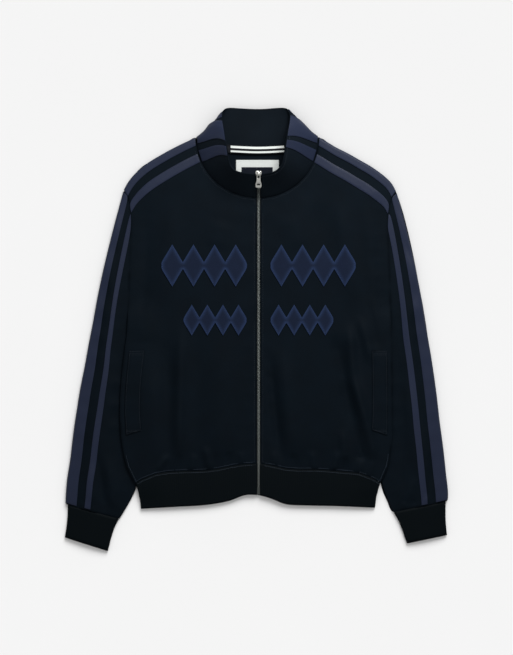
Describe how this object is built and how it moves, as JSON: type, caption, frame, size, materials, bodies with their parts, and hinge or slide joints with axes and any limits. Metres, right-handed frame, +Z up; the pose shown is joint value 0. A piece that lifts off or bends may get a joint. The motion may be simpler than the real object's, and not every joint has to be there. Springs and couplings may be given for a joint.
{
  "type": "track jacket",
  "caption": "Zip-front track jacket laid out flat, with a standing collar, striped shoulders and sleeves, welt pockets, and a ribbed hem band and cuffs.",
  "frame": {"origin": "on the surface that the jacket lies on, under the middle of its outline", "axes": "+Y towards the collar, +Z up, away from the surface, with the jacket's front up, so that +X is the wearer's left"},
  "size_m": [0.689, 0.796, 0.0554],
  "materials": {
    "jersey": "brushed jersey",
    "rib": "ribbed knit",
    "stripe": "matte tape",
    "felt": "felt",
    "white": "satin label",
    "label": "woven label",
    "tape": "grosgrain",
    "metal": "satin"
  },
  "bodies": {
    "jacket": {"back": "jersey", "collar": "jersey", "cuff_left": "rib", "cuff_right": "rib", "front_left": "jersey", "front_right": "jersey", "hem_band": "rib", "motif_lower_left": "felt", "motif_lower_right": "felt", "motif_upper_left": "felt", "motif_upper_right": "felt", "neck_label": "white", "neck_tape": "tape", "size_label": "label", "sleeve_left": "jersey", "sleeve_right": "jersey", "stripe_collar_narrow_back_left": "stripe", "stripe_collar_narrow_back_right": "stripe", "stripe_collar_narrow_front_left": "stripe", "stripe_collar_narrow_front_right": "stripe", "stripe_collar_wide_left": "stripe", "stripe_collar_wide_right": "stripe", "stripe_shoulder_narrow_back_left": "stripe", "stripe_shoulder_narrow_back_right": "stripe", "stripe_shoulder_narrow_front_left": "stripe", "stripe_shoulder_narrow_front_right": "stripe", "stripe_shoulder_wide_left": "stripe", "stripe_shoulder_wide_right": "stripe", "stripe_sleeve_narrow_back_left": "stripe", "stripe_sleeve_narrow_back_right": "stripe", "stripe_sleeve_narrow_front_left": "stripe", "stripe_sleeve_narrow_front_right": "stripe", "stripe_sleeve_wide_left": "stripe", "stripe_sleeve_wide_right": "stripe", "welt_left": "jersey", "welt_right": "jersey", "zip_box": "metal", "zip_chain": "metal", "zip_slider": "metal", "zip_tape_left": "tape", "zip_tape_right": "tape"},
    "zip_pull": {"zip_pull": "metal"}
  },
  "joints": [
    {"name": "pull_turn", "type": "hinge", "parent": "jacket", "child": "zip_pull", "pos_m": [0.00375, 0.27623, 0.0499], "axis": [-1, 0, 0], "range_deg": [0, 160]}
  ]
}
